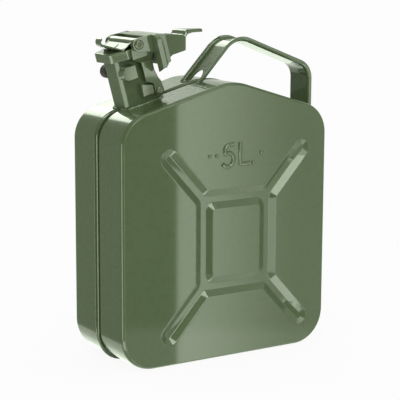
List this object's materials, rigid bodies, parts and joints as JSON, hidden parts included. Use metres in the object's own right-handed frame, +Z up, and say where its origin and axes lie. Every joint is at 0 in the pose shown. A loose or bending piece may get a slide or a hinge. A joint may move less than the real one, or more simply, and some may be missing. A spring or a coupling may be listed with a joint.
{
  "type": "metal jerry can",
  "caption": "Flat pressed steel fuel can with a pentagonal outline, a leaning filler neck with cam-lever cap, and a bent strap handle.",
  "frame": {"origin": "on the ground under the middle of the whole can's bounding box, midway between the curled tip of the cap's bridge and the handle's edge, in the seam plane", "axes": "+Z up, +X along the width towards the handle, the front pressed face looks along -Y, and the seam plane between the half shells is Y = 0"},
  "size_m": [0.2378, 0.097, 0.3171],
  "materials": {
    "body_paint": "gloss olive green paint",
    "fitting_paint": "semi-gloss olive green paint",
    "pin_steel": "worn paint over steel",
    "black_rubber": "matt black",
    "bare_steel": "plain drawn tube"
  },
  "bodies": {
    "can": {"front_shell": "body_paint", "rear_shell": "body_paint", "filler_neck": "body_paint", "breather_tube": "bare_steel", "spout_lug_front": "body_paint", "spout_lug_rear": "body_paint", "hinge_bracket_front": "body_paint", "hinge_bracket_rear": "body_paint", "hinge_pin_front": "pin_steel", "hinge_pin_rear": "pin_steel", "carry_handle": "body_paint"},
    "stirrup": {"stirrup_arm_front": "fitting_paint", "stirrup_arm_rear": "fitting_paint", "cross_pin": "pin_steel"},
    "cap": {"cap_shell": "fitting_paint", "cap_gasket": "black_rubber", "cap_bridge": "fitting_paint", "cap_rivet": "pin_steel"},
    "lever": {"closure_lever": "fitting_paint"}
  },
  "joints": [
    {"name": "stirrup_swing", "type": "hinge", "parent": "can", "child": "stirrup", "pos_m": [-0.06064, 0, 0.26106], "axis": [0, 1, 0], "range_deg": [0, 65]},
    {"name": "lever_turn", "type": "hinge", "parent": "stirrup", "child": "lever", "pos_m": [-0.08744, 0, 0.30503], "axis": [0, -1, 0], "range_deg": [0, 100]},
    {"name": "cap_rock", "type": "hinge", "parent": "stirrup", "child": "cap", "pos_m": [-0.08744, 0, 0.30503], "axis": [0, -1, 0], "range_deg": [0, 10]}
  ],
  "couplings": [
    {"joint": "lever_turn", "follows": "stirrup_swing", "ratio": 1.53},
    {"joint": "cap_rock", "follows": "stirrup_swing", "ratio": 0.15}
  ]
}
